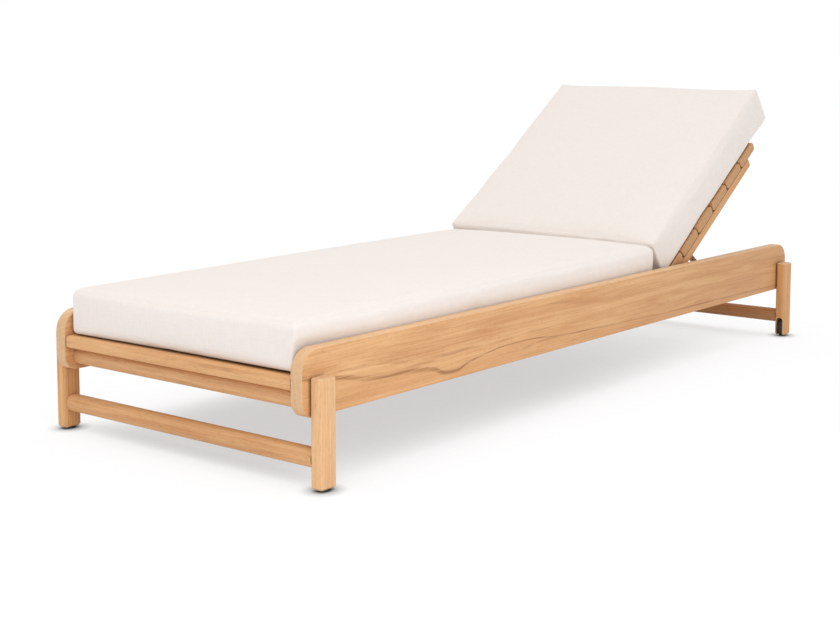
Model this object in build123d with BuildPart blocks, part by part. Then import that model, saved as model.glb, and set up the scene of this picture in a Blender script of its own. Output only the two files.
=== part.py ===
from build123d import *

import os
from math import cos, pi, radians, sin

os.makedirs("parts", exist_ok=True)

# Slatted wooden sun lounger with a lifting backrest, a notched prop stay, two wheels and two cushions.
# The origin is on the floor under the middle of the frame. +Y runs to the head end and +Z is up.
# Left and right are as seen from the foot end, so the right side is +X. All sizes are in millimetres.

SIDES = {"left": -1, "right": 1}
ENDS = {"foot": -1, "head": 1}

# Fits
glue_gap = 0.1
running_gap = 0.05
rest_gap = 0.3
overrun = 5.0

# Side rails
rail_length = 2000.0
rail_clear_width = 640.0
rail_thickness = 28.0
rail_depth = 125.0
rail_underside = 132.5
rail_top_corner = 44.0
rail_bottom_corner = 32.0
rail_edge_bevel = 2.0

# Legs
leg_thickness = 30.0
leg_depth = 43.0
leg_top = 207.0
leg_setback = 19.0
leg_corner_round = 9.0
leg_top_bevel = 2.5
leg_bottom_bevel = 4.0

# Round bars between the legs and between the rails
stretcher_diameter = 37.0
stretcher_height = 56.5
crossbar_diameter = 38.5
crossbar_drop = 0.5
ledger_end_gap = 3.0
tenon_diameter = 22.0
tenon_depth = 18.0
stub_tenon_depth = 6.0

# Seat slats and their ledgers
slat_thickness = 26.0
slat_underside = 181.0
slat_round = 6.0
slat_side_gap = 2.0
seat_slat_count = 14
seat_slat_gap = 5.5
seat_slat_setback = 3.0
ledger_width = 20.0
ledger_depth = 26.0

# Hinge rail and butt hinges
hinge_from_head = 652.0
hinge_height = 154.0
hinge_rail_stand = 7.0
hinge_rail_thickness = 31.0
hinge_rail_depth = 43.0
hinge_rail_lip = 6.5
hinge_rail_tenon = 15.0
hinge_rail_shoulder = 6.0
leaf_thickness = 3.0
leaf_width = 39.0
leaf_length = 34.0
leaf_drop = 13.0
knuckle_radius = 4.5
knuckle_count = 3
knuckle_gap = 0.4
knuckle_clear = 1.0
hinge_pin_radius = 2.5
hinge_pin_head = 1.5
hinge_pin_lip = 1.0

# Backrest, with sizes along its own slope from the hinge axis
rest_angle = 33.7
top_angle = 60.0
stile_underside = 6.0
stile_thickness = 21.0
stile_width = 45.0
stile_rail_gap = 8.0
stile_length = 590.0
stile_toe = 3.0
stile_toe_bevel = 30.0
stile_round = 3.0
back_slat_count = 6
back_slat_gap = 5.8
back_slat_start = 70.0
back_slat_head_gap = 15.0
back_slat_round = 9.0
back_slat_end_bevel = 2.0

# Prop stay and its racks
stay_length = 240.0
stay_width = 16.0
stay_thickness = 4.0
stay_bar_radius = 5.0
stay_bar_end_gap = 2.0
stay_play = 0.3
bracket_thickness = 4.0
bracket_length = 28.0
bracket_foot = 9.0
bracket_head = 25.0
bracket_corner = 6.0
pivot_radius = 4.0
pivot_head_radius = 7.0
pivot_head = 3.0
pivot_shoulder = 0.7
rack_lift_gap = 0.4
rack_width = 20.0
rack_margin = 22.0
notch_radius = 5.5
notch_depth = 6.5
notch_ramp = 15.0
notch_steps_down = 2
notch_steps_up = 3

# Leg bolts
bolt_radius = 4.0
bolt_head_radius = 8.0
bolt_head = 5.0
bolt_sink = 6.0
bolt_height = 192.0
bolt_bite = 20.0

# Glides and wheels
glide_radius = 13.0
glide_thickness = 4.0
glide_stem_radius = 4.0
glide_stem = 16.0
wheel_radius = 25.0
wheel_width = 13.5
tyre_depth = 9.0
tyre_bevel = 3.0
wheel_slot_width = 17.0
wheel_slot_gap = 2.0
wheel_slot_round = 6.0
axle_radius = 4.0
axle_cover = 2.0
hub_width = 12.0
hub_rim = 3.0
hub_boss_radius = 8.0
hub_web = 5.0

# Cushions
seat_cushion_thickness = 104.0
back_cushion_thickness = 116.0
seat_cushion_round = 16.0
back_cushion_round = 12.0
cushion_crown = 6.0
cushion_side_swell = 3.0
cushion_draw = 4.0
cushion_end_crown = 1.0
cushion_first_angle = 25.0
cushion_round_steps = 3
cushion_spans = 6
cushion_side_gap = 4.0
seat_cushion_setback = 15.0
seat_cushion_hinge_gap = 43.0
back_cushion_start = 54.0
back_cushion_overhang = 97.0

# Places worked out from the sizes above
rail_end = rail_length / 2
rail_inner = rail_clear_width / 2
rail_outer = rail_inner + rail_thickness
leg_x = rail_outer + leg_thickness / 2
leg_y = rail_end - leg_setback - leg_depth / 2
crossbar_height = slat_underside - crossbar_drop - crossbar_diameter / 2
slat_top = slat_underside + slat_thickness
slat_half_length = rail_inner - slat_side_gap
ledger_inner = rail_inner - ledger_width
hinge_y = rail_end - hinge_from_head
hinge_rail_face = hinge_y - hinge_rail_stand
hinge_rail_back = hinge_rail_face - hinge_rail_thickness
seat_slat_start = seat_slat_setback - rail_end
seat_slat_end = hinge_rail_face - hinge_rail_lip
seat_span = seat_slat_end - seat_slat_start
seat_slat_width = (seat_span - (seat_slat_count - 1) * seat_slat_gap) / seat_slat_count
seat_slat_pitch = seat_slat_width + seat_slat_gap
stile_outer = rail_inner - stile_rail_gap
stile_inner = stile_outer - stile_width
stile_top = stile_underside + stile_thickness
back_slat_end = hinge_from_head - back_slat_head_gap
back_span = back_slat_end - back_slat_start
back_slat_width = (back_span - (back_slat_count - 1) * back_slat_gap) / back_slat_count
back_slat_pitch = back_slat_width + back_slat_gap
back_slat_top = stile_top + slat_thickness
bracket_inner = stile_inner - bracket_thickness
arm_outer = bracket_inner - pivot_shoulder - stay_play
arm_inner = arm_outer - stay_thickness
rack_top = hinge_height - stay_bar_radius - rack_lift_gap
wheel_slot_top = 2 * wheel_radius + wheel_slot_gap
cushion_half_width = rail_inner - cushion_side_gap
hub_radius = wheel_radius - tyre_depth - glue_gap
stretcher_tenons = {"foot": tenon_depth, "head": stub_tenon_depth}
axle_length = leg_thickness - axle_cover
ledger_start = ledger_end_gap + crossbar_diameter / 2 - leg_y
hinge_rail_middle = hinge_rail_face - hinge_rail_thickness / 2
hinge_tenon_thickness = hinge_rail_thickness - 2 * hinge_rail_shoulder
hinge_tenon_depth = hinge_rail_depth - 2 * hinge_rail_shoulder
stile_middle = stile_inner + stile_width / 2
tongue_top = hinge_height - knuckle_radius + leaf_thickness
fixed_leaf_low = hinge_height - leaf_drop
fixed_leaf_top = hinge_height - knuckle_radius - knuckle_clear
moving_leaf_start = knuckle_radius + knuckle_clear
stay_bar_half_length = rail_inner - stay_bar_end_gap

# The backrest's own plane: x runs up its slope from the hinge axis, y stands off its face
slope = radians(rest_angle)
back_plane = Plane(
    origin=(0, hinge_y, hinge_height),
    x_dir=(0, cos(slope), sin(slope)),
    z_dir=(1, 0, 0),
)


def save(piece, name):
    """Label one finished piece and write it under the same name."""
    piece.part.label = name
    export_step(piece.part, f"parts/{name}.step")


def stay_foot_y(angle):
    """Place of the stay's foot bar along the frame when the backrest stands at an angle in degrees."""
    return hinge_y + 2 * stay_length * cos(radians(angle))


seat_slat_places = [
    seat_slat_start + seat_slat_width / 2 + index * seat_slat_pitch for index in range(seat_slat_count)
]
back_slat_places = [
    back_slat_start + back_slat_width / 2 + index * back_slat_pitch for index in range(back_slat_count)
]
rest_step = (top_angle - rest_angle) / notch_steps_up
rest_angles = [rest_angle + step * rest_step for step in range(-notch_steps_down, notch_steps_up + 1)]
rack_start = stay_foot_y(top_angle) - rack_margin - notch_ramp
rack_end = stay_foot_y(0) + rack_margin
stay_pivot = Vector(0, hinge_y + stay_length * cos(slope), hinge_height + stay_length * sin(slope))
stay_plane = Plane(origin=stay_pivot, x_dir=(0, cos(slope), -sin(slope)), z_dir=(1, 0, 0))

# Side rails: long boards with rounded ends, and sockets for the crossbars, bolts and hinge rail
for name, side in SIDES.items():
    with BuildPart() as side_rail:
        with BuildSketch(Plane.YZ.offset(side * rail_inner)):
            with Locations((0, rail_underside + rail_depth / 2)):
                Rectangle(rail_length, rail_depth)
            fillet(vertices().group_by(Axis.Y)[-1], rail_top_corner)
            fillet(vertices().group_by(Axis.Y)[0], rail_bottom_corner)
        extrude(amount=side * rail_thickness)
        chamfer(side_rail.faces().filter_by(Axis.X).edges(), rail_edge_bevel)
        with BuildSketch(Plane.YZ.offset(side * rail_inner)):
            with Locations(*[(end * leg_y, crossbar_height) for end in ENDS.values()]):
                Circle(tenon_diameter / 2 + glue_gap)
            with Locations(*[(end * leg_y, bolt_height) for end in ENDS.values()]):
                Circle(bolt_radius + glue_gap)
        extrude(amount=side * rail_thickness, mode=Mode.SUBTRACT)
        with BuildSketch(Plane.YZ.offset(side * rail_inner)):
            with Locations(*[(end * leg_y, bolt_height) for end in ENDS.values()]):
                Circle(bolt_head_radius + glue_gap)
        extrude(amount=side * bolt_sink, mode=Mode.SUBTRACT)
        with BuildSketch(Plane.YZ.offset(side * rail_inner)):
            with Locations((hinge_rail_middle, slat_underside - hinge_rail_depth / 2)):
                Rectangle(hinge_tenon_thickness + glue_gap, hinge_tenon_depth + glue_gap)
        extrude(amount=side * (hinge_rail_tenon + glue_gap), mode=Mode.SUBTRACT)
    save(side_rail, f"side_rail_{name}")

# Legs: rounded posts outside the rails, socketed for the round bars
for end_name, end in ENDS.items():
    for name, side in SIDES.items():
        with BuildPart() as leg:
            with BuildSketch(Plane.XY.offset(glide_thickness)):
                with Locations((side * leg_x, end * leg_y)):
                    RectangleRounded(leg_thickness, leg_depth, leg_corner_round)
            extrude(amount=leg_top - glide_thickness)
            chamfer(leg.faces().sort_by(Axis.Z)[-1].edges(), leg_top_bevel)
            chamfer(leg.faces().sort_by(Axis.Z)[0].edges(), leg_bottom_bevel)
            with BuildSketch(Plane.YZ.offset(side * rail_outer)):
                with Locations((end * leg_y, crossbar_height)):
                    Circle(tenon_diameter / 2 + glue_gap)
            extrude(amount=side * (tenon_depth + glue_gap), mode=Mode.SUBTRACT)
            with BuildSketch(Plane.YZ.offset(side * rail_outer)):
                with Locations((end * leg_y, stretcher_height)):
                    Circle(tenon_diameter / 2 + glue_gap)
            extrude(amount=side * (stretcher_tenons[end_name] + glue_gap), mode=Mode.SUBTRACT)
            with BuildSketch(Plane.YZ.offset(side * rail_outer)):
                with Locations((end * leg_y, bolt_height)):
                    Circle(bolt_radius + glue_gap)
            extrude(amount=side * (bolt_bite + glue_gap), mode=Mode.SUBTRACT)
            if end_name == "foot":
                # socket for the stem of the glide
                with BuildSketch(Plane.XY.offset(glide_thickness)):
                    with Locations((side * leg_x, end * leg_y)):
                        Circle(glide_stem_radius + glue_gap)
                extrude(amount=glide_stem + glue_gap, mode=Mode.SUBTRACT)
            else:
                # open slot for the wheel, and the blind hole for its axle
                with BuildSketch(Plane.XZ.offset(-end * leg_y)):
                    with Locations((side * leg_x, 0)):
                        Rectangle(wheel_slot_width, 2 * wheel_slot_top)
                    fillet(vertices().group_by(Axis.Z)[-1], wheel_slot_round)
                extrude(amount=leg_depth / 2 + overrun, both=True, mode=Mode.SUBTRACT)
                with BuildSketch(Plane.YZ.offset(side * rail_outer)):
                    with Locations((end * leg_y, wheel_radius)):
                        Circle(axle_radius + glue_gap)
                extrude(amount=side * (axle_length + glue_gap), mode=Mode.SUBTRACT)
        save(leg, f"leg_{end_name}_{name}")


def round_bar(end, diameter, height, shoulder, tenon):
    """Turned bar across the frame with a tenon at each end, from its shoulder and tenon length."""
    with BuildPart() as bar:
        with BuildSketch(Plane.YZ):
            with Locations((end * leg_y, height)):
                Circle(diameter / 2)
        extrude(amount=shoulder, both=True)
        with BuildSketch(Plane.YZ):
            with Locations((end * leg_y, height)):
                Circle(tenon_diameter / 2)
        extrude(amount=shoulder + tenon, both=True)
    return bar


# Lower stretchers between the legs, and crossbars between the rails with tenons right into the legs
for end_name, end in ENDS.items():
    stretcher = round_bar(end, stretcher_diameter, stretcher_height, rail_outer, stretcher_tenons[end_name])
    save(stretcher, f"{end_name}_stretcher")
    crossbar = round_bar(end, crossbar_diameter, crossbar_height, rail_inner, rail_thickness + tenon_depth)
    save(crossbar, f"{end_name}_crossbar")

# Bolts from inside each rail into its leg
with BuildPart() as leg_bolts:
    for side in SIDES.values():
        with BuildSketch(Plane.YZ.offset(side * (rail_inner + bolt_sink))):
            with Locations(*[(end * leg_y, bolt_height) for end in ENDS.values()]):
                Circle(bolt_head_radius)
        extrude(amount=-side * bolt_head)
        with BuildSketch(Plane.YZ.offset(side * (rail_inner + bolt_sink))):
            with Locations(*[(end * leg_y, bolt_height) for end in ENDS.values()]):
                Circle(bolt_radius)
        extrude(amount=side * (rail_thickness - bolt_sink + bolt_bite))
save(leg_bolts, "leg_bolts")

# Ledgers along the rails
for name, side in SIDES.items():
    with BuildPart() as slat_ledger:
        with BuildSketch(Plane.YZ.offset(side * ledger_inner)):
            with Locations(((ledger_start + hinge_rail_back) / 2, slat_underside - ledger_depth / 2)):
                Rectangle(hinge_rail_back - ledger_start, ledger_depth)
        extrude(amount=side * ledger_width)
    save(slat_ledger, f"slat_ledger_{name}")

# Seat slats across the frame, resting on the ledgers
for index, place in enumerate(seat_slat_places):
    with BuildPart() as seat_slat:
        with BuildSketch(Plane.YZ):
            with Locations((place, slat_underside + slat_thickness / 2)):
                RectangleRounded(seat_slat_width, slat_thickness, slat_round)
        extrude(amount=slat_half_length, both=True)
    save(seat_slat, f"seat_slat_{index + 1:02d}")

# Hinge rail across the frame at the seat's head end, tenoned into both side rails
with BuildPart() as hinge_rail:
    with BuildSketch(Plane.YZ):
        with Locations((hinge_rail_middle, slat_underside - hinge_rail_depth / 2)):
            Rectangle(hinge_rail_thickness, hinge_rail_depth)
    extrude(amount=rail_inner, both=True)
    with BuildSketch(Plane.YZ):
        with Locations((hinge_rail_middle, slat_underside - hinge_rail_depth / 2)):
            Rectangle(hinge_tenon_thickness, hinge_tenon_depth)
    extrude(amount=rail_inner + hinge_rail_tenon, both=True)
save(hinge_rail, "hinge_rail")

# Butt hinges: a fixed leaf on the hinge rail, a pin, and a moving leaf under each stile
for name, side in SIDES.items():
    hinge_low_x = side * stile_middle - leaf_length / 2
    knuckle_length = leaf_length / knuckle_count
    with BuildPart() as fixed_leaf:
        with BuildSketch(Plane.YZ.offset(hinge_low_x)):
            with Locations((hinge_rail_face + leaf_thickness / 2, (fixed_leaf_low + fixed_leaf_top) / 2)):
                Rectangle(leaf_thickness, fixed_leaf_top - fixed_leaf_low)
        extrude(amount=leaf_length)
        for first in (0, 2 * knuckle_length + knuckle_gap / 2):
            with BuildSketch(Plane.YZ.offset(hinge_low_x + first)):
                with Locations((hinge_rail_face + leaf_thickness / 2, (fixed_leaf_low + tongue_top) / 2)):
                    Rectangle(leaf_thickness, tongue_top - fixed_leaf_low)
                with Locations(((hinge_rail_face + hinge_y) / 2, tongue_top - leaf_thickness / 2)):
                    Rectangle(hinge_rail_stand, leaf_thickness)
                with Locations((hinge_y, hinge_height)):
                    Circle(knuckle_radius)
            extrude(amount=knuckle_length - knuckle_gap / 2)
        with BuildSketch(Plane.YZ.offset(hinge_low_x)):
            with Locations((hinge_y, hinge_height)):
                Circle(hinge_pin_radius + running_gap)
        extrude(amount=leaf_length, mode=Mode.SUBTRACT)
    save(fixed_leaf, f"hinge_fixed_leaf_{name}")

    with BuildPart() as moving_leaf:
        with BuildSketch(back_plane.offset(hinge_low_x)):
            with Locations(((moving_leaf_start + leaf_width) / 2, stile_underside - leaf_thickness / 2)):
                Rectangle(leaf_width - moving_leaf_start, leaf_thickness)
        extrude(amount=leaf_length)
        with BuildSketch(back_plane.offset(hinge_low_x + knuckle_length + knuckle_gap / 2)):
            with Locations((moving_leaf_start / 2, stile_underside - leaf_thickness / 2)):
                Rectangle(moving_leaf_start, leaf_thickness)
            Circle(knuckle_radius)
        extrude(amount=knuckle_length - knuckle_gap)
        with BuildSketch(back_plane.offset(hinge_low_x)):
            Circle(hinge_pin_radius + running_gap)
        extrude(amount=leaf_length, mode=Mode.SUBTRACT)
    save(moving_leaf, f"hinge_moving_leaf_{name}")

with BuildPart() as hinge_pins:
    for side in SIDES.values():
        with BuildSketch(Plane.YZ.offset(side * stile_middle)):
            with Locations((hinge_y, hinge_height)):
                Circle(hinge_pin_radius)
        extrude(amount=leaf_length / 2 + hinge_pin_head, both=True)
        for head_side in SIDES.values():
            with BuildSketch(Plane.YZ.offset(side * stile_middle + head_side * leaf_length / 2)):
                with Locations((hinge_y, hinge_height)):
                    Circle(hinge_pin_radius + hinge_pin_lip)
            extrude(amount=head_side * hinge_pin_head)
save(hinge_pins, "hinge_pins")

# Racks on the rails' inner faces, with a saw-tooth notch for each rest position
for name, side in SIDES.items():
    with BuildPart() as stay_rack:
        with BuildSketch(Plane.YZ.offset(side * (rail_inner - rack_width))):
            with Locations(((rack_start + rack_end) / 2, (rail_underside + rack_top) / 2)):
                Rectangle(rack_end - rack_start, rack_top - rail_underside)
            for angle in rest_angles:
                notch_y = stay_foot_y(angle)
                notch_z = rack_top - notch_depth + notch_radius
                with Locations((notch_y, notch_z)):
                    Circle(notch_radius, mode=Mode.SUBTRACT)
                with BuildLine():
                    Polyline(
                        (notch_y, notch_z - notch_radius),
                        (notch_y, rack_top + overrun),
                        (notch_y - notch_ramp, rack_top + overrun),
                        (notch_y - notch_ramp, rack_top),
                        close=True,
                    )
                make_face(mode=Mode.SUBTRACT)
                with Locations((notch_y, rack_top + overrun / 2)):
                    Rectangle(2 * notch_radius, overrun + rack_top - notch_z, mode=Mode.SUBTRACT)
        extrude(amount=side * rack_width)
    save(stay_rack, f"stay_rack_{name}")

# Backrest stiles, bevelled at the toe to swing clear of the hinge rail
for name, side in SIDES.items():
    with BuildPart() as back_stile:
        with BuildSketch(back_plane.offset(side * stile_inner)):
            with BuildLine():
                Polyline(
                    (stile_toe, stile_underside),
                    (stile_length, stile_underside),
                    (stile_length, stile_top),
                    (stile_toe + stile_toe_bevel, stile_top),
                    close=True,
                )
            make_face()
            fillet(vertices().group_by(Axis.X)[-1], stile_round)
        extrude(amount=side * stile_width)
    save(back_stile, f"back_stile_{name}")

# Backrest slats on the stiles
for index, place in enumerate(back_slat_places):
    with BuildPart() as back_slat:
        with BuildSketch(back_plane):
            with Locations((place, stile_top + slat_thickness / 2)):
                RectangleRounded(back_slat_width, slat_thickness, back_slat_round)
        extrude(amount=stile_outer, both=True)
        chamfer(back_slat.faces().filter_by(Axis.X).edges(), back_slat_end_bevel)
    save(back_slat, f"back_slat_{index + 1}")

# Brackets on the stiles' inner faces, the pivot pins they hold, and the arms that swing on them
for name, side in SIDES.items():
    with BuildPart() as stay_bracket:
        with BuildSketch(back_plane.offset(side * bracket_inner)):
            with Locations((stay_length, (bracket_head - bracket_foot) / 2)):
                RectangleRounded(bracket_length, bracket_head + bracket_foot, bracket_corner)
            with Locations((stay_length, 0)):
                Circle(pivot_radius + glue_gap, mode=Mode.SUBTRACT)
        extrude(amount=side * bracket_thickness)
    save(stay_bracket, f"stay_bracket_{name}")

    with BuildPart() as stay_arm:
        with BuildSketch(stay_plane.offset(side * arm_inner)):
            with Locations((stay_length / 2, 0)):
                SlotCenterToCenter(stay_length, stay_width)
            Circle(pivot_radius + running_gap, mode=Mode.SUBTRACT)
            with Locations((stay_length, 0)):
                Circle(stay_bar_radius + glue_gap, mode=Mode.SUBTRACT)
        extrude(amount=side * stay_thickness)
    save(stay_arm, f"stay_arm_{name}")

with BuildPart() as stay_pivots:
    for side in SIDES.values():
        with BuildSketch(stay_plane.offset(side * (arm_inner - stay_play))):
            Circle(pivot_radius)
        extrude(amount=side * (stile_inner - arm_inner + stay_play))
        with BuildSketch(stay_plane.offset(side * (arm_inner - stay_play))):
            Circle(pivot_head_radius)
        extrude(amount=-side * pivot_head)
        with BuildSketch(stay_plane.offset(side * bracket_inner)):
            Circle(pivot_head_radius)
        extrude(amount=-side * pivot_shoulder)
save(stay_pivots, "stay_pivots")

# Foot bar of the stay, lying over a notch at rest
with BuildPart() as stay_foot_bar:
    with BuildSketch(Plane.YZ):
        with Locations((stay_foot_y(rest_angle), hinge_height)):
            Circle(stay_bar_radius)
    extrude(amount=stay_bar_half_length, both=True)
save(stay_foot_bar, "stay_foot_bar")

# Glides under the foot legs
with BuildPart() as foot_glides:
    with BuildSketch(Plane.XY):
        with Locations(*[(side * leg_x, -leg_y) for side in SIDES.values()]):
            Circle(glide_radius)
    extrude(amount=glide_thickness)
    with BuildSketch(Plane.XY.offset(glide_thickness)):
        with Locations(*[(side * leg_x, -leg_y) for side in SIDES.values()]):
            Circle(glide_stem_radius)
    extrude(amount=glide_stem)
save(foot_glides, "foot_glides")

# Wheels in the head legs' slots: a rubber tyre on a webbed hub, turning on an axle fixed in the leg
for name, side in SIDES.items():
    wheel_axis = Axis((0, leg_y, wheel_radius), (1, 0, 0))
    with BuildPart() as wheel_tyre:
        with BuildSketch(Plane.XZ.offset(-leg_y)):
            with Locations((side * leg_x, 2 * wheel_radius - tyre_depth / 2)):
                Rectangle(wheel_width, tyre_depth)
            chamfer(vertices().group_by(Axis.Z)[-1], tyre_bevel)
        revolve(axis=wheel_axis)
    save(wheel_tyre, f"wheel_tyre_{name}")

    with BuildPart() as wheel_hub:
        with BuildSketch(Plane.XZ.offset(-leg_y)):
            with Locations((side * leg_x, wheel_radius + (axle_radius + running_gap + hub_boss_radius) / 2)):
                Rectangle(wheel_width, hub_boss_radius - axle_radius - running_gap)
            with Locations((side * leg_x, wheel_radius + (axle_radius + running_gap + hub_radius) / 2)):
                Rectangle(hub_web, hub_radius - axle_radius - running_gap)
            with Locations((side * leg_x, wheel_radius + hub_radius - hub_rim / 2)):
                Rectangle(hub_width, hub_rim)
        revolve(axis=wheel_axis)
    save(wheel_hub, f"wheel_hub_{name}")

    with BuildPart() as wheel_axle:
        with BuildSketch(Plane.YZ.offset(side * rail_outer)):
            with Locations((leg_y, wheel_radius)):
                Circle(axle_radius)
        extrude(amount=side * axle_length)
    save(wheel_axle, f"wheel_axle_{name}")


def cushion_stations(length, edge_round):
    """Places along a cushion, each with the reach of its rounded edge there.

    The reach grows along a quarter circle at each end, and stays full at the stations between.
    """
    first = radians(cushion_first_angle)
    turn_step = (pi / 2 - first) / cushion_round_steps
    foot_end = []
    for step in range(cushion_round_steps + 1):
        turn = first + step * turn_step
        foot_end.append((edge_round * (cos(first) - cos(turn)), edge_round * sin(turn)))
    head_end = [(length - place, reach) for place, reach in reversed(foot_end)]
    full_place = edge_round * cos(first)
    full_length = length - 2 * full_place
    span = full_length / cushion_spans
    between = [(full_place + span * step, edge_round) for step in range(1, cushion_spans)]
    return foot_end + between + head_end


def cushion(base, first_end, last_end, underside, thickness, edge_round):
    """Boxed cushion on a plane whose x runs along it and whose y is its thickness.

    Its top is crowned both ways, its sides swell at mid height and are drawn in between the corners,
    and all its edges are rounded.
    """
    length = last_end - first_end
    with BuildPart() as pad:
        for place, reach in cushion_stations(length, edge_round):
            inset = edge_round - reach
            middle_share = 2 * place / length - 1
            half_width = cushion_half_width - cushion_side_swell - inset
            half_width -= cushion_draw * (1 - middle_share**2)
            crown = cushion_crown * (1 - middle_share**4)
            top = thickness - inset
            section = Plane(
                origin=base.from_local_coords((first_end + place, underside, 0)),
                x_dir=base.z_dir,
                z_dir=-base.x_dir,
            )
            with BuildSketch(section):
                with BuildLine():
                    Line((-half_width, inset), (half_width, inset))
                    ThreePointArc(
                        (half_width, inset),
                        (half_width + cushion_side_swell, thickness / 2),
                        (half_width, top),
                    )
                    ThreePointArc(
                        (half_width, top),
                        (0, top + crown + cushion_end_crown),
                        (-half_width, top),
                    )
                    ThreePointArc(
                        (-half_width, top),
                        (-half_width - cushion_side_swell, thickness / 2),
                        (-half_width, inset),
                    )
                make_face()
                fillet(vertices(), reach)
        loft(ruled=True)
    return pad


seat_cushion = cushion(
    Plane(origin=(0, 0, 0), x_dir=(0, 1, 0), z_dir=(1, 0, 0)),
    seat_cushion_setback - rail_end,
    hinge_y - seat_cushion_hinge_gap,
    slat_top + rest_gap,
    seat_cushion_thickness,
    seat_cushion_round,
)
save(seat_cushion, "seat_cushion")

back_cushion = cushion(
    back_plane,
    back_cushion_start,
    back_slat_end + back_cushion_overhang,
    back_slat_top + rest_gap,
    back_cushion_thickness,
    back_cushion_round,
)
save(back_cushion, "back_cushion")
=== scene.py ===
from math import cos, pi, radians, sin

import bpy
import numpy as np
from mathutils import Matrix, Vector


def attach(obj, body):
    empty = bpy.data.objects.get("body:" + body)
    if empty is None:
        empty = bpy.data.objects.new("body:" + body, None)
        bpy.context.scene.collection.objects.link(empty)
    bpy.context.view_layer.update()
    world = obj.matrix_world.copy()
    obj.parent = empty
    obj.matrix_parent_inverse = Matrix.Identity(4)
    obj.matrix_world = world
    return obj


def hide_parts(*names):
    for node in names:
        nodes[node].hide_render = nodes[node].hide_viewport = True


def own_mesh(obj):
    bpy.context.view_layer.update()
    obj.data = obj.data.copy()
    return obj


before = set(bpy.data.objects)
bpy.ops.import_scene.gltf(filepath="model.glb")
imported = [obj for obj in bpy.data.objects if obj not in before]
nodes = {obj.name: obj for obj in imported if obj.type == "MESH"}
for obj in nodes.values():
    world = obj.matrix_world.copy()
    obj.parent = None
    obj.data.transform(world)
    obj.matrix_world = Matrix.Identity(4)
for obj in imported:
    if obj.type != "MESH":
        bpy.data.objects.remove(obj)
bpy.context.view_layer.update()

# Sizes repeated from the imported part, in metres; the back slats' face is measured off the hinge, square to
# the backrest, and the back cushion's ends from the hinge up the slope
MM = 0.001
SIDES = {"left": -1, "right": 1}
hinge = np.array([0.0, 0.348, 0.154])
slope = radians(33.7)
slat_face = 0.207
back_slat_face = 0.053
seat_ends = (-0.985, 0.305)
back_ends = (0.054, 0.734)
cushion_half_width = 0.316
seat_height = 0.1035
back_height = 0.119
rest_gap = 0.3 * MM
rail_foot = -1.0
rail_head = 1.0
rail_low = 0.1325
rail_high = 0.2575

# Directions of the backrest: up its slope and off its face
up_slope = np.array([0.0, cos(slope), sin(slope)])
off_face = np.array([0.0, -sin(slope), cos(slope)])
across = np.array([1.0, 0.0, 0.0])


# Camera

# Fitted to the edges of rails, slats and legs in the photograph; the focal length is in the picture's pixels
photo_width = 840
focal_pixels = 1436.4
camera_place = (2.0704, -2.8163, 0.7576)
camera_azimuth = radians(38.673)
camera_pitch = radians(5.873)
camera_shift = -0.12


def place_camera():
    """Camera at the photograph's viewing angle."""
    data = bpy.data.cameras.new("camera")
    data.sensor_width = 36
    data.lens = focal_pixels / photo_width * data.sensor_width
    data.shift_y = camera_shift
    camera = bpy.data.objects.new("camera", data)
    bpy.context.scene.collection.objects.link(camera)
    camera.location = camera_place
    camera.rotation_euler = (pi / 2 - camera_pitch, 0, camera_azimuth)
    bpy.context.scene.camera = camera


place_camera()


# Materials

def linear(hex_value):
    """Linear RGBA of an sRGB hex value."""
    parts = np.array([int(hex_value[place:place + 2], 16) for place in (1, 3, 5)]) / 255
    values = np.where(parts <= 0.04045, parts / 12.92, ((parts + 0.055) / 1.055) ** 2.4)
    return (*values.tolist(), 1.0)


def add(tree, kind, inputs=None, **settings):
    """Adds one node with its settings; inputs gives its sockets values, or the sockets that feed them."""
    made = tree.nodes.new(kind)
    for name, value in settings.items():
        setattr(made, name, value)
    for key, value in (inputs or {}).items():
        if isinstance(value, bpy.types.NodeSocket):
            tree.links.new(value, made.inputs[key])
        else:
            made.inputs[key].default_value = value
    return made


def new_material(name):
    """Material with an empty node tree, its output and its shader."""
    material = bpy.data.materials.new(name)
    material.use_nodes = True
    tree = material.node_tree
    tree.nodes.clear()
    shader = add(tree, "ShaderNodeBsdfPrincipled")
    add(tree, "ShaderNodeOutputMaterial", {"Surface": shader.outputs[0]})
    return material, tree, shader


# Turns by which each kind of board's grain comes to lie along the pattern's x
GRAIN = {
    "across": (0, 0, 0),
    "along": (0, 0, -pi / 2),
    "upright": (0, pi / 2, 0),
    "sloping": (-slope, 0, -pi / 2),
}


def stretched(tree, place, length, width):
    """Coordinates in which a figure of that length along the grain and width across it is one unit."""
    return add(
        tree,
        "ShaderNodeVectorMath",
        {0: place, 1: (1 / length, 1 / width, 1 / width)},
        operation="MULTIPLY",
    ).outputs[0]


# Route of the dark heart line in the right rail's board, in shares of the rail's length and depth: it falls
# from the foot end, rises again past the dip and then falls slowly
HEART_SHARES = (
    (0.0, 0.6),
    (0.06, 0.46),
    (0.1, 0.35),
    (0.15, 0.31),
    (0.19, 0.24),
    (0.222, 0.12),
    (0.242, 0.19),
    (0.275, 0.27),
    (0.33, 0.33),
    (0.42, 0.25),
    (0.5, 0.2),
    (0.7, 0.14),
    (1.0, 0.1),
)
# Half widths of the heart line as shares of the rail's depth: 7.5 mm of flame at the foot end, 2.4 mm beyond
flame_width = 0.06
line_width = 0.019


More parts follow.
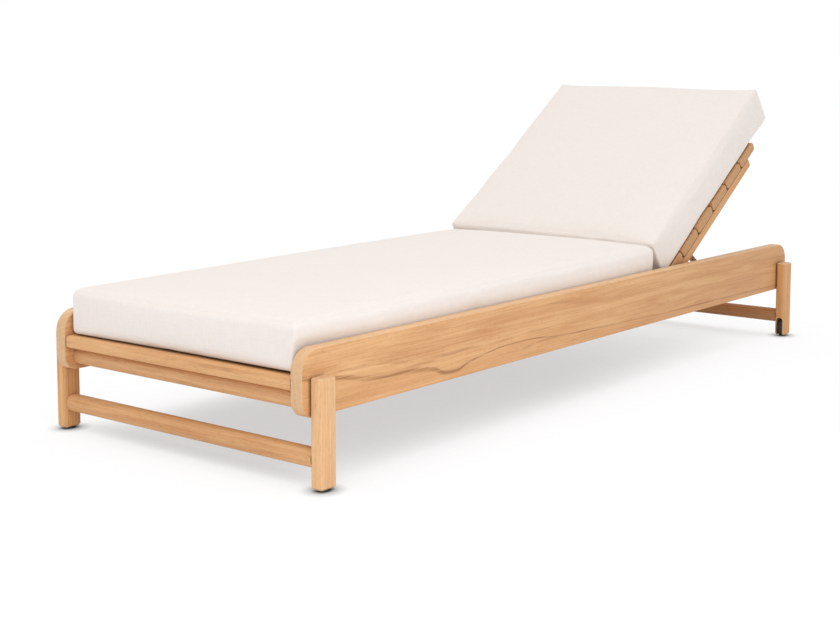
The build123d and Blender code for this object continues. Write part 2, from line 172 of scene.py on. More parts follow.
def heart_line(tree, place, fibres, face, streak):
    """Dark line of heartwood that wanders along the rail, broad and feathered at its foot end.

    Below the line the wood turns a little redder within 6 mm, and stays so down to the rail's lower edge.
    """
    parts = add(tree, "ShaderNodeSeparateXYZ", {0: place})
    along = add(
        tree,
        "ShaderNodeMapRange",
        {"Value": parts.outputs["Y"], "From Min": rail_foot, "From Max": rail_head},
    ).outputs[0]
    route = add(tree, "ShaderNodeFloatCurve", {"Value": along})
    curve = route.mapping.curves[0]
    for share, height in HEART_SHARES[1:-1]:
        curve.points.new(share, height)
    curve.points[0].location = HEART_SHARES[0]
    curve.points[-1].location = HEART_SHARES[-1]
    route.mapping.update()
    level = add(
        tree,
        "ShaderNodeMapRange",
        {"Value": parts.outputs["Z"], "From Min": rail_low, "From Max": rail_high},
    ).outputs[0]
    above = add(tree, "ShaderNodeMath", {0: level, 1: route.outputs[0]}, operation="SUBTRACT").outputs[0]
    width = add(
        tree,
        "ShaderNodeMapRange",
        {"Value": along, "From Min": 0.2, "From Max": 0.27, "To Min": flame_width, "To Max": line_width},
    ).outputs[0]
    away = add(tree, "ShaderNodeMath", {0: above}, operation="ABSOLUTE").outputs[0]
    away = add(tree, "ShaderNodeMath", {0: away, 1: width}, operation="DIVIDE").outputs[0]
    dark = add(
        tree,
        "ShaderNodeMapRange",
        {"Value": away, "From Min": 0.15, "From Max": 1.0, "To Min": 1.0, "To Max": 0.0},
        interpolation_type="SMOOTHSTEP",
    ).outputs[0]
    broken = add(
        tree,
        "ShaderNodeMapRange",
        {"Value": fibres, "From Min": 0.38, "From Max": 0.58, "To Min": 0.25, "To Max": 0.85},
    ).outputs[0]
    dark = add(tree, "ShaderNodeMath", {0: dark, 1: broken}, operation="MULTIPLY").outputs[0]
    red = add(
        tree,
        "ShaderNodeMapRange",
        {"Value": above, "From Min": -0.05, "From Max": 0.0, "To Min": 0.15, "To Max": 0.0},
    ).outputs[0]
    face = add(
        tree,
        "ShaderNodeMix",
        {"Factor": red, "A": face, "B": linear("#D08C55")},
        data_type="RGBA",
    ).outputs["Result"]
    return add(
        tree,
        "ShaderNodeMix",
        {"Factor": dark, "A": face, "B": linear(streak)},
        data_type="RGBA",
    ).outputs["Result"]


# Figure of the teak: how far its growth rings wander from end to end, where the pith lies, across which part
# of the lounger's length a board turns browner, how wide a gap is darkened with painted shade, and the parts
# that rings, fibres and tone have in the colour
ring_wander = 18 * MM
PITH_PLACE = (0.0, 0.21, 0.16)
BROWN_REACH = (-0.5, 0.8)
gap_shade_reach = 10 * MM
ring_part = 0.36
fibre_part = 0.34
tone_part = 0.3


def teak(
    name,
    grain,
    shift=(0, 0, 0),
    pale="#F0C18B",
    deep="#C48753",
    streak="#9C683D",
    end=("#E2BE95", "#C99E71"),
    brown=0.0,
    painted_top_light=0.0,
    heart=False,
):
    """Planed and oiled teak, with its grain along one of GRAIN's directions.

    The eye sees a honey colour with fine growth lines 2 to 7 mm apart, long paler and darker fibre
    streaks, patches of tone, short dark pores and now and then a brown mineral streak. Cut ends have
    the two colours of end. Brown is the share by which a board turns browner towards the head end. Faces
    that look upwards are painted paler by the share given for them, a painted highlight of the light from
    above.
    """
    material, tree, shader = new_material(name)
    coordinates = add(tree, "ShaderNodeTexCoord")
    turned = add(
        tree,
        "ShaderNodeMapping",
        {"Vector": coordinates.outputs["Object"], "Rotation": GRAIN[grain], "Location": shift},
    ).outputs[0]

    # slow wander of the growth rings along the board, some 4 mm either way
    wander = add(
        tree,
        "ShaderNodeTexNoise",
        {"Vector": stretched(tree, turned, 0.4, 0.06), "Scale": 1.0, "Detail": 2.0, "Roughness": 0.5},
    ).outputs["Color"]
    wandered = add(
        tree, "ShaderNodeVectorMath", {0: wander, 1: (0.0, ring_wander, ring_wander)}, operation="MULTIPLY"
    ).outputs[0]
    bent = add(tree, "ShaderNodeVectorMath", {0: turned, 1: wandered}, operation="ADD").outputs[0]

    # growth rings: distance from a pith that runs along the grain, 0.26 m off the pattern's middle
    radial = add(
        tree, "ShaderNodeVectorMath", {0: bent, 1: (0.0, 1.0, 1.0)}, operation="MULTIPLY"
    ).outputs[0]
    offset = add(
        tree, "ShaderNodeVectorMath", {0: radial, 1: PITH_PLACE}, operation="SUBTRACT"
    ).outputs[0]
    radius = add(tree, "ShaderNodeVectorMath", {0: offset}, operation="LENGTH").outputs["Value"]
    rings = add(
        tree,
        "ShaderNodeTexNoise",
        {"W": radius, "Scale": 150.0, "Detail": 4.0, "Roughness": 0.68},
        noise_dimensions="1D",
    ).outputs["Fac"]

    # fibre streaks 3 mm wide and 0.25 m long, and patches of tone 40 mm wide and 0.3 m long
    fibres = add(
        tree,
        "ShaderNodeTexNoise",
        {"Vector": stretched(tree, bent, 0.25, 0.003), "Scale": 1.0, "Detail": 3.0, "Roughness": 0.6},
    ).outputs["Fac"]
    tone = add(
        tree,
        "ShaderNodeTexNoise",
        {"Vector": stretched(tree, turned, 0.3, 0.04), "Scale": 1.0, "Detail": 2.5, "Roughness": 0.55},
    ).outputs["Fac"]
    # real pores are 0.2 mm wide: drawn 1.2 mm wide and 16 mm long so that they show
    pores = add(
        tree,
        "ShaderNodeTexNoise",
        {"Vector": stretched(tree, turned, 0.016, 0.0012), "Scale": 1.0, "Detail": 1.0, "Roughness": 0.5},
    ).outputs["Fac"]
    # mineral streaks 16 mm wide and 0.3 m long
    mineral = add(
        tree,
        "ShaderNodeTexNoise",
        {"Vector": stretched(tree, bent, 0.3, 0.016), "Scale": 1.0, "Detail": 3.0, "Roughness": 0.6},
    ).outputs["Fac"]

    ring_share = add(
        tree, "ShaderNodeMapRange", {"Value": rings, "From Min": 0.3, "From Max": 0.7}
    ).outputs[0]
    fibre_share = add(
        tree, "ShaderNodeMapRange", {"Value": fibres, "From Min": 0.32, "From Max": 0.68}
    ).outputs[0]
    tone_share = add(
        tree, "ShaderNodeMapRange", {"Value": tone, "From Min": 0.32, "From Max": 0.68}
    ).outputs[0]
    pore_share = add(
        tree,
        "ShaderNodeMapRange",
        {"Value": pores, "From Min": 0.6, "From Max": 0.72, "To Min": 0.0, "To Max": 0.4},
        interpolation_type="SMOOTHSTEP",
    ).outputs[0]
    mineral_share = add(
        tree,
        "ShaderNodeMapRange",
        {"Value": mineral, "From Min": 0.6, "From Max": 0.74, "To Min": 0.0, "To Max": 0.5},
        interpolation_type="SMOOTHSTEP",
    ).outputs[0]

    # growth rings, fibre streaks and tone in about equal parts
    mixed = add(tree, "ShaderNodeMath", {0: ring_share, 1: ring_part}, operation="MULTIPLY").outputs[0]
    mixed = add(
        tree, "ShaderNodeMath", {0: fibre_share, 1: fibre_part, 2: mixed}, operation="MULTIPLY_ADD"
    ).outputs[0]
    mixed = add(
        tree, "ShaderNodeMath", {0: tone_share, 1: tone_part, 2: mixed}, operation="MULTIPLY_ADD"
    ).outputs[0]
    face = add(
        tree,
        "ShaderNodeMix",
        {"Factor": mixed, "A": linear(pale), "B": linear(deep)},
        data_type="RGBA",
    ).outputs["Result"]
    if heart:
        face = heart_line(tree, coordinates.outputs["Object"], fibres, face, streak)
    if brown:
        along = add(tree, "ShaderNodeSeparateXYZ", {0: coordinates.outputs["Object"]}).outputs["Y"]
        share = add(
            tree,
            "ShaderNodeMapRange",
            {"Value": along, "From Min": BROWN_REACH[0], "From Max": BROWN_REACH[1], "To Max": brown},
        ).outputs[0]
        face = add(
            tree,
            "ShaderNodeMix",
            {"Factor": share, "A": face, "B": linear("#A87550")},
            data_type="RGBA",
        ).outputs["Result"]
    if painted_top_light:
        # painted highlight: faces that look upwards are painted paler, as light from above shows them
        upward = add(tree, "ShaderNodeSeparateXYZ", {0: coordinates.outputs["Normal"]}).outputs["Z"]
        share = add(
            tree,
            "ShaderNodeMapRange",
            {"Value": upward, "From Min": 0.4, "From Max": 0.9, "To Max": painted_top_light},
            interpolation_type="SMOOTHSTEP",
        ).outputs[0]
        face = add(
            tree,
            "ShaderNodeMix",
            {"Factor": share, "A": face, "B": linear("#EACAA2")},
            data_type="RGBA",
        ).outputs["Result"]
    for share in (mineral_share, pore_share):
        face = add(
            tree,
            "ShaderNodeMix",
            {"Factor": share, "A": face, "B": linear(streak)},
            data_type="RGBA",
        ).outputs["Result"]

    # cut ends: where the surface faces along the grain
    axis = add(
        tree,
        "ShaderNodeMapping",
        {"Vector": coordinates.outputs["Normal"], "Rotation": GRAIN[grain]},
        vector_type="NORMAL",
    ).outputs[0]
    facing = add(tree, "ShaderNodeSeparateXYZ", {0: axis}).outputs["X"]
    facing = add(tree, "ShaderNodeMath", {0: facing}, operation="ABSOLUTE").outputs[0]
    end_share = add(
        tree,
        "ShaderNodeMapRange",
        {"Value": facing, "From Min": 0.35, "From Max": 0.85},
        interpolation_type="SMOOTHSTEP",
    ).outputs[0]
    # speckle of the cut fibres, up to 7 mm across
    mottle = add(
        tree,
        "ShaderNodeTexNoise",
        {"Vector": turned, "Scale": 140.0, "Detail": 4.0, "Roughness": 0.75},
    ).outputs["Fac"]
    mottle_share = add(
        tree, "ShaderNodeMapRange", {"Value": mottle, "From Min": 0.3, "From Max": 0.7}
    ).outputs[0]
    end_mix = add(tree, "ShaderNodeMath", {0: ring_share, 1: 0.45}, operation="MULTIPLY").outputs[0]
    end_mix = add(
        tree, "ShaderNodeMath", {0: mottle_share, 1: 0.55, 2: end_mix}, operation="MULTIPLY_ADD"
    ).outputs[0]
    cut = add(
        tree,
        "ShaderNodeMix",
        {"Factor": end_mix, "A": linear(end[0]), "B": linear(end[1])},
        data_type="RGBA",
    ).outputs["Result"]
    colour = add(
        tree, "ShaderNodeMix", {"Factor": end_share, "A": face, "B": cut}, data_type="RGBA"
    ).outputs["Result"]
    # painted shade darkens narrow gaps: under half as bright where most of the view within 10 mm is covered
    gap = add(tree, "ShaderNodeAmbientOcclusion", {"Distance": gap_shade_reach}, samples=6).outputs["AO"]
    gap_shade_share = add(
        tree,
        "ShaderNodeMapRange",
        {"Value": gap, "From Min": 0.2, "From Max": 0.6, "To Min": 0.42, "To Max": 1.0},
    ).outputs[0]
    colour = add(
        tree, "ShaderNodeVectorMath", {0: colour, "Scale": gap_shade_share}, operation="SCALE"
    ).outputs[0]
    tree.links.new(colour, shader.inputs["Base Color"])

    sheen = add(
        tree,
        "ShaderNodeMapRange",
        {"Value": fibres, "From Min": 0.3, "From Max": 0.7, "To Min": 0.46, "To Max": 0.6},
    ).outputs[0]
    tree.links.new(sheen, shader.inputs["Roughness"])
    shader.inputs["IOR"].default_value = 1.5
    shader.inputs["Specular IOR Level"].default_value = 0.35
    relief = add(
        tree, "ShaderNodeMath", {0: pores, 1: -0.6, 2: fibres}, operation="MULTIPLY_ADD"
    ).outputs[0]
    bump = add(
        tree, "ShaderNodeBump", {"Height": relief, "Strength": 0.16, "Distance": 0.4 * MM}
    ).outputs[0]
    tree.links.new(bump, shader.inputs["Normal"])
    return material


def canvas(name, pale, deep, tilt=0.0):
    """Cream outdoor canvas, plain woven from spun acrylic yarn.

    The threads run along and across the cushion. The eye sees a matt, faintly heathered cream with a soft
    bloom where the cloth turns away, and faint painted shade in patches, as of soft puckers.
    """
    material, tree, shader = new_material(name)
    coordinates = add(tree, "ShaderNodeTexCoord")
    laid = add(
        tree,
        "ShaderNodeMapping",
        {"Vector": coordinates.outputs["Object"], "Rotation": (tilt, 0, 0)},
    ).outputs[0]
    # real threads are 0.5 mm apart: drawn 1.6 mm apart so that they show
    pitch = 1.6 * MM
    slub_length = 20 * MM
    axes = add(tree, "ShaderNodeSeparateXYZ", {0: laid})
    weave = None
    for axis in ("X", "Y", "Z"):
        phase = add(
            tree, "ShaderNodeMath", {0: axes.outputs[axis], 1: 2 * pi / pitch}, operation="MULTIPLY"
        ).outputs[0]
        wave = add(tree, "ShaderNodeMath", {0: phase}, operation="SINE").outputs[0]
        if weave is None:
            weave = wave
        else:
            weave = add(tree, "ShaderNodeMath", {0: weave, 1: wave}, operation="ADD").outputs[0]
    # slubs: threads a little thicker for some 20 mm of their length, both ways
    slubs = [
        add(
            tree,
            "ShaderNodeTexNoise",
            {"Vector": stretched(tree, laid, *reach), "Scale": 1.0, "Detail": 1.0, "Roughness": 0.5},
        ).outputs["Fac"]
        for reach in ((slub_length, pitch), (pitch, slub_length))
    ]
    heather = add(tree, "ShaderNodeMath", {0: slubs[0], 1: slubs[1]}, operation="ADD").outputs[0]
    heather_share = add(
        tree, "ShaderNodeMapRange", {"Value": heather, "From Min": 0.7, "From Max": 1.3}
    ).outputs[0]
    # painted shade: patches about 0.15 m across darken the cream a little, as the shade of soft puckers
    # would
    pucker_shade = add(
        tree,
        "ShaderNodeTexNoise",
        {"Vector": laid, "Scale": 7.0, "Detail": 2.0, "Roughness": 0.5},
    ).outputs["Fac"]
    share = add(
        tree, "ShaderNodeMath", {0: pucker_shade, 1: 0.35, 2: heather_share}, operation="MULTIPLY_ADD"
    ).outputs[0]
    colour = add(
        tree,
        "ShaderNodeMix",
        {"Factor": share, "A": linear(pale), "B": linear(deep)},
        data_type="RGBA",
    ).outputs["Result"]
    tree.links.new(colour, shader.inputs["Base Color"])
    shader.inputs["Roughness"].default_value = 0.92
    shader.inputs["Specular IOR Level"].default_value = 0.2
    shader.inputs["Sheen Weight"].default_value = 0.25
    shader.inputs["Sheen Roughness"].default_value = 0.5
    shader.inputs["Sheen Tint"].default_value = linear("#FBF7F1")
    height = add(
        tree, "ShaderNodeMath", {0: heather, 1: 1.2, 2: weave}, operation="MULTIPLY_ADD"
    ).outputs[0]
    bump = add(
        tree, "ShaderNodeBump", {"Height": height, "Strength": 0.18, "Distance": 0.15 * MM}
    ).outputs[0]
    tree.links.new(bump, shader.inputs["Normal"])
    return material


def brushed_steel(name):
    """Stainless steel strip and bar with a fine brushed finish, and a soft broken reflection."""
    material, tree, shader = new_material(name)
    coordinates = add(tree, "ShaderNodeTexCoord")
    # brush lines 0.1 mm wide are drawn 0.6 mm wide so that they show
    drawn = stretched(tree, coordinates.outputs["Object"], 0.6 * MM, 20 * MM)
    lines = add(
        tree, "ShaderNodeTexNoise", {"Vector": drawn, "Scale": 1.0, "Detail": 2.0, "Roughness": 0.6}
    ).outputs["Fac"]
    colour = add(
        tree,
        "ShaderNodeMix",
        {"Factor": lines, "A": linear("#C4C3C0"), "B": linear("#ACABA8")},
        data_type="RGBA",
    ).outputs["Result"]
    tree.links.new(colour, shader.inputs["Base Color"])
    shader.inputs["Metallic"].default_value = 1.0
    rough = add(
        tree,
        "ShaderNodeMapRange",
        {"Value": lines, "From Min": 0.3, "From Max": 0.7, "To Min": 0.24, "To Max": 0.38},
    ).outputs[0]
    tree.links.new(rough, shader.inputs["Roughness"])
    bump = add(
        tree, "ShaderNodeBump", {"Height": lines, "Strength": 0.1, "Distance": 0.05 * MM}
    ).outputs[0]
    tree.links.new(bump, shader.inputs["Normal"])
    return material


def moulded(name, pale, dark, roughness, grit):
    """Moulded rubber or plastic with a fine even texture whose grain is as wide as the grit, in metres.

    The eye sees a dull, slightly mottled surface, paler where the grain stands up and catches dust.
    """
    material, tree, shader = new_material(name)
    coordinates = add(tree, "ShaderNodeTexCoord")
    grain = add(
        tree,
        "ShaderNodeTexNoise",
        {"Vector": coordinates.outputs["Object"], "Scale": 1 / grit, "Detail": 2.0, "Roughness": 0.6},
    ).outputs["Fac"]
    colour = add(
        tree,
        "ShaderNodeMix",
        {"Factor": grain, "A": linear(dark), "B": linear(pale)},
        data_type="RGBA",
    ).outputs["Result"]
    tree.links.new(colour, shader.inputs["Base Color"])
    shader.inputs["Roughness"].default_value = roughness
    shader.inputs["IOR"].default_value = 1.5
    bump = add(
        tree, "ShaderNodeBump", {"Height": grain, "Strength": 0.2, "Distance": 0.1 * MM}
    ).outputs[0]
    tree.links.new(bump, shader.inputs["Normal"])
    return material


# Each finish of teak has its own grain direction or shift into the pattern, so that no two share a figure;
# the bar between the head legs is darker teak: painted shade, for the shade under the frame in which it lies
teak_across = teak("teak_planed_across", "across", end=("#CFA275", "#B08052"))
teak_turned = teak("teak_turned_bar", "across", (0.4, 0.31, 0.13), "#EDBF8B", "#C28652")
teak_shaded = teak("teak_turned_bar_head_painted_shade", "across", (0.9, 0.17, 0.4), "#CB9A6B", "#9A6841", "#75492A")
teak_rail = teak("teak_planed_rail_right", "along", (0.2, 0.0, 0.05), brown=0.3, painted_top_light=0.5, heart=True)
teak_along = teak("teak_planed_along", "along", (0.83, 0.05, 0.31), brown=0.3, painted_top_light=0.5)
teak_upright = teak("teak_planed_leg", "upright", (0.7, 0.11, 0.02), "#F3CA9B", "#D09A66")
teak_upright_deep = teak("teak_planed_leg_deep", "upright", (0.3, 0.4, 0.2), "#E9BA84", "#C08550")
teak_sloping = teak("teak_planed_stile", "sloping", pale="#E3B27C", deep="#B87D4B")
steel = brushed_steel("stainless_steel_brushed")
rubber = moulded("rubber_moulded_black", "#2E2E2F", "#1D1D1E", 0.72, 0.8 * MM)
hub_plastic = moulded("polypropylene_moulded_grey", "#7B7B7A", "#6A6A69", 0.5, 0.6 * MM)
glide_plastic = moulded("polyethylene_moulded_black", "#2A2A2A", "#1C1C1C", 0.55, 0.6 * MM)
seat_canvas = canvas("acrylic_canvas_woven_seat", "#EFE7E1", "#EAE1DB")
# the back cover is the seat's canvas a little darker: painted shade on its sloping face
back_canvas = canvas("acrylic_canvas_woven_back", "#EDE5DE", "#E8DFD8", -slope)

FINISHES = (
    (teak_shaded, ("head_stretcher",)),
    (teak_turned, ("foot_stretcher", "foot_crossbar", "head_crossbar")),
    (teak_across, ("seat_slat_", "back_slat_", "hinge_rail")),
    (teak_rail, ("side_rail_right",)),
    (teak_along, ("side_rail_", "slat_ledger_", "stay_rack_")),
    (teak_upright, ("leg_foot_right",)),
    (teak_upright_deep, ("leg_foot_", "leg_head_")),
    (teak_sloping, ("back_stile_",)),
    (steel, ("leg_bolts", "hinge_", "stay_", "wheel_axle_")),
    (rubber, ("wheel_tyre_",)),
    (hub_plastic, ("wheel_hub_",)),
    (glide_plastic, ("foot_glides",)),
    (seat_canvas, ("seat_cushion",)),
    (back_canvas, ("back_cushion",)),
)
for node_name, node in nodes.items():
    finish = next(material for material, starts in FINISHES if node_name.startswith(starts))
    node.data.materials.clear()
    node.data.materials.append(finish)


# Mesh building

def new_piece(name, points, faces, material, body):
    """Smooth-shaded mesh piece from an array of points and an array or list of faces, riding on a body."""
    data = bpy.data.meshes.new(name)
    data.from_pydata(points.tolist(), [], faces if isinstance(faces, list) else faces.tolist())
    data.polygons.foreach_set("use_smooth", np.ones(len(faces), bool))
    data.materials.append(material)
    data.update()
    piece = bpy.data.objects.new(name, data)
    bpy.context.scene.collection.objects.link(piece)
    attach(piece, body)
    return piece


def grid_faces(rows, columns, closed=False):
    """Quads of a grid numbered row by row; closed joins the last column to the first."""
    steps = np.arange(columns if closed else columns - 1)
    row, column = np.meshgrid(np.arange(rows - 1), steps, indexing="ij")
    start = row * columns
    after = (column + 1) % columns
    quads = [start + column, start + after, start + columns + after, start + columns + column]
    return np.stack(quads, -1).reshape(-1, 4)


def capped_faces(rows, columns):
    """Faces of a tube of rings numbered ring by ring, with a cap over each end."""
    first_ring = list(range(columns))
    last_ring = [corner + (rows - 1) * columns for corner in first_ring]
    return grid_faces(rows, columns, closed=True).tolist() + [first_ring[::-1], last_ring]


def graded(half):
    """Places from -half to half: close together at both ends, where the edge turns, wider between."""
    near = np.arange(0, turn_zone, turn_step)
    count = int((2 * half - 2 * turn_zone) / cushion_step) + 2
    between = np.linspace(turn_zone, 2 * half - turn_zone, count)
    return np.concatenate([near, between, 2 * half - near[::-1]]) - half


def box_surface(half):
    """Closed surface of a box as six grids of two parameters, with the points that grids share merged."""
    points = []
    faces = []
    count = 0
    for axis in range(3):
        first, second = (axis + 1) % 3, (axis + 2) % 3
        u, v = np.meshgrid(graded(half[first]), graded(half[second]), indexing="ij")
        for side in (-1, 1):
            grid = np.zeros((u.size, 3))
            grid[:, axis] = side * half[axis]
            grid[:, first] = u.ravel()
            grid[:, second] = v.ravel()
            points.append(grid)
            faces.append(grid_faces(*u.shape)[:, ::-side] + count)
            count += u.size
    points = np.concatenate(points)
    kept, places = np.unique(np.round(points, 6), axis=0, return_inverse=True)
    return kept, places.reshape(-1)[np.concatenate(faces)]


# Cushions

# Grid of a cover: how wide the zones are in which its edges turn, and how far apart its points are in them
# and between them
turn_zone = 24 * MM
turn_step = 3 * MM
cushion_step = 13 * MM

# Blowing up: frames, how far a point may move, the width left for it on each side, and how far out the cover
# may lie in the end, which is just inside the rails
sim_frames = 24
cushion_cap = 14 * MM
swell_room = 3.5 * MM
rail_side = 318.8 * MM

# Dents of the foam, and the sewn edges' radius, depth in the cover and sides
dent_depth = 0.9 * MM
bead_radius = 1.3 * MM
bead_sink = 0.8 * MM
bead_sides = 8

# Crispness of the upright corners in plan: 2 is a round corner, and a high power a square one
corner_power = 6

# How the seat cover lies: its crown, and the shares of its length between which the crown rises; and where
# its head end stops at the back cushion
crown_rise = 2.5 * MM
CROWN_SPAN = (0.45, 0.9)
pressed_end = 0.308

# Lift of the seat cover's foot edge: at most, how high and how far from the edge it reaches, and its parts
# that are even and that lean from side to side
foot_lift = 3.5 * MM
lift_height = 40 * MM
lift_reach = 50 * MM
lift_even = 0.65
lift_lean = 0.35

# Swells over the rails: the seat cover's at its foot end and the share that is lost up to its head end, the
# back cover's and the shares of its length between which it sets in, the heights above the slats between
# which a side stands out, and the shares of the half width between which a side begins
over_rail = 7 * MM
over_fade = 0.65
back_swell = 3.5 * MM
BACK_SWELL_SPAN = (0.25, 0.55)
SWELL_HEIGHTS = (0.052, 0.066)
SWELL_SIDE = (0.85, 0.99)

# Places from here outwards, in shares of a cover's half sizes, lie on its rim
on_rim = 0.9999

# Least length that a length is divided by
tiny = 1e-9


def rounded(box, half, low_edge, top_edge):
    """Outward directions and places of a rounded box.

    Each point is drawn to a core, then pushed out by the radius, which goes in a straight line from the low
    edge's to the top edge's. In plan the reach from the core is a power mean of its two parts, which keeps
    the upright corners crisp, as sewn ones are.
    """
    edge = low_edge + (top_edge - low_edge) * (box[:, 2:] / half[2] + 1) / 2
    core = np.clip(box, edge - half, half - edge)
    away = box - core
    plan = (np.abs(away[:, :2]) ** corner_power).sum(1, keepdims=True) ** (1 / corner_power)
    places = core + edge * away / np.hypot(plan, away[:, 2:])
    away[:, :2] *= (np.abs(away[:, :2]) / np.maximum(plan, tiny)) ** (corner_power - 2)
    away /= np.linalg.norm(away, axis=1, keepdims=True)
    return away, places


def eased(values, start, end):
    """Share that goes from 0 at the start to 1 at the end, with soft ends: t squared times (3 - 2 t)."""
    share = np.clip((values - start) / (end - start), 0, 1)
    return share * share * (3 - 2 * share)


def settled(points, half):
    """Seat cushion as it lies in the photograph.

    Its crown is a parabola across it that rises towards the backrest, its foot edge lifts off the first slat
    by a straight line across it, and its right side swells out above the rail by an eased share of its
    height. Its head end is flat where the back cushion presses.
    """
    span = points[:, 0] / half[0]
    along_share = (points[:, 1] / half[1] + 1) / 2
    height_share = points[:, 2] / (2 * half[2])
    points[:, 2] += crown_rise * (1 - span**2) * height_share * eased(along_share, *CROWN_SPAN)
    low = 1 - eased(points[:, 2], 0, lift_height)
    at_foot = 1 - eased(points[:, 1], -half[1], lift_reach - half[1])
    points[:, 2] += low * foot_lift * (lift_even + lift_lean * span) * at_foot
    over = over_rail * (1 - over_fade * along_share) * eased(span, *SWELL_SIDE)
    points[:, 0] += over * eased(points[:, 2], *SWELL_HEIGHTS)
    points[:, 1] = np.minimum(points[:, 1], pressed_end - (seat_ends[0] + seat_ends[1]) / 2)
    return points


def leaned(points, half):
    """Back cushion as it lies: its left side swells out by eased shares of its length and of its height.

    The swell starts above the height of the rails, which the cushion clears when the backrest lies flat.
    """
    span = points[:, 0] / half[0]
    along_share = (points[:, 1] / half[1] + 1) / 2
    swell = back_swell * eased(-span, *SWELL_SIDE) * eased(along_share, *BACK_SWELL_SPAN)
    points[:, 0] -= swell * eased(points[:, 2], *SWELL_HEIGHTS)
    return points


def dents(points):
    """Dents of the foam: a sum of two waves along the cushion times a sum of two over its section.

    The waves are 0.17 to 0.43 m long, so that they don't show as a pattern.
    """
    along = np.sin(points[:, 1] * 2 * pi / 0.31 + 0.8) + np.sin(points[:, 1] * 2 * pi / 0.17 + 2.1)
    over = np.cos(points[:, 0] * 2 * pi / 0.43 + 0.4) + np.cos(points[:, 2] * 2 * pi / 0.23)
    return dent_depth * 0.5 * along * over


def inflate(points, faces):
    """Blows the cover up as cloth under pressure, and gives its points, none moved further than the cap."""
    data = bpy.data.meshes.new("cover_at_start")
    data.from_pydata(points.tolist(), [], faces.tolist())
    cover = bpy.data.objects.new("cover_at_start", data)
    bpy.context.scene.collection.objects.link(cover)
    cloth = cover.modifiers.new("cloth", "CLOTH")
    cloth.settings.quality = 6
    cloth.settings.mass = 0.3
    cloth.settings.tension_stiffness = 30
    cloth.settings.compression_stiffness = 30
    cloth.settings.shear_stiffness = 10
    cloth.settings.bending_stiffness = 1.0
    cloth.settings.use_pressure = True
    cloth.settings.uniform_pressure_force = 0.15
    cloth.settings.effector_weights.gravity = 0
    cloth.collision_settings.use_collision = False
    cloth.point_cache.frame_start = 1
    cloth.point_cache.frame_end = sim_frames
    scene = bpy.context.scene
    for frame_number in range(1, sim_frames + 1):
        scene.frame_set(frame_number)
    blown = cover.evaluated_get(bpy.context.evaluated_depsgraph_get())
    moved = np.empty(len(points) * 3)
    blown.data.vertices.foreach_get("co", moved)
    moved = moved.reshape(-1, 3)
    bpy.data.objects.remove(cover)
    bpy.data.meshes.remove(data)
    scene.frame_set(1)
    shift = moved - points
    reach = np.linalg.norm(shift, axis=1, keepdims=True)
    return points + shift * np.minimum(1, cushion_cap / np.maximum(reach, tiny))


def to_frame(points, origin, along, up):
    """Points given as distances across, along and up are laid in the frame from an origin."""
    return origin + points[:, :1] * across + points[:, 1:2] * along + points[:, 2:] * up


def press(piece, pressed):
    """A pressed piece gets a mesh of its own, shared with no other piece."""
    if pressed:
        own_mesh(piece)


def bead(name, path, outward, closed, material, body, pressed):
    """Sewn edge: a small circle carried along a path, p + r cos a outward + r sin a sideways.

    The path is sunk into the cover, so that only the bead's crest shows.
    """
    ahead = np.roll(path, -1, axis=0) - np.roll(path, 1, axis=0)
    if not closed:
        ahead[0] = path[1] - path[0]
        ahead[-1] = path[-1] - path[-2]
    sideways = np.cross(ahead, outward)
    sideways /= np.linalg.norm(sideways, axis=1, keepdims=True)
    turn = np.linspace(0, 2 * pi, bead_sides, endpoint=False)
    middle = path - bead_sink * outward
    rings = (
        middle[:, None]
        + bead_radius * np.cos(turn)[None, :, None] * outward[:, None]
        + bead_radius * np.sin(turn)[None, :, None] * sideways[:, None]
    )
    if closed:
        faces = grid_faces(len(path) + 1, len(turn), closed=True) % (len(path) * len(turn))
    else:
        faces = capped_faces(len(path), len(turn))
    piece = new_piece(name, rings.reshape(-1, 3), faces, material, body)
    smooth = piece.modifiers.new("smooth", "SUBSURF")
    smooth.levels = 1
    smooth.render_levels = 1
    press(piece, pressed)


def cushion(name, ends, height, edges, lean, tuck, shaped, origin, along, up, material, body):
    """Foam cushion in a boxed canvas cover with sewn edges, resting flat on its slats.

    A rounded box is dented and blown up. Its height then leans by straight lines across and along it, its
    far end leans in at the top and out below by tuck times the fourth power of the share along it, and the
    function shaped lays it as it lies in the photograph.
    """
    half = np.array([cushion_half_width - swell_room, (ends[1] - ends[0]) / 2, height / 2])
    box, faces = box_surface(half)
    away, points = rounded(box, half, *edges)
    points = points + away * dents(points)[:, None]
    points = inflate(points, faces)
    points[:, 2] += half[2]
    points[:, 2] *= 1 + lean[0] * points[:, 0] / half[0] + lean[1] * points[:, 1] / half[1]
    end_share = np.clip(0.5 + 0.5 * points[:, 1] / half[1], 0, 1) ** 4
    points[:, 1] -= tuck * end_share * (points[:, 2] / height - 0.4)
    points[:, 2] = np.maximum(points[:, 2], rest_gap)
    points[:, 0] = np.clip(points[:, 0], -rail_side, rail_side)
    points = shaped(points, half)
    points[:, 1] += (ends[0] + ends[1]) / 2
    laid = to_frame(points, origin, along, up)
    piece = new_piece(name, laid, faces, material, body)
    smooth = piece.modifiers.new("smooth", "SUBSURF")
    smooth.levels = 1
    smooth.render_levels = 1
    pressed = body == "frame"
    press(piece, pressed)

    outward = to_frame(away, np.zeros(3), along, up)
    place = box / half
    rim = np.abs(place[:, :2]).max(1) > on_rim
    for level, side in (("low", -1), ("top", 1)):
        loop = np.flatnonzero(rim & (place[:, 2] * side > on_rim))
        loop = loop[np.argsort(np.arctan2(place[loop, 1], place[loop, 0]))]
        bead(f"{name}_{level}_seam", laid[loop], outward[loop], True, material, body, pressed)
    for hand, side in SIDES.items():
        post = np.flatnonzero((place[:, 0] * side > on_rim) & (place[:, 1] > on_rim))
        post = post[np.argsort(place[post, 2])]
        bead(f"{name}_end_seam_{hand}", laid[post], outward[post], False, material, body, pressed)
    return piece


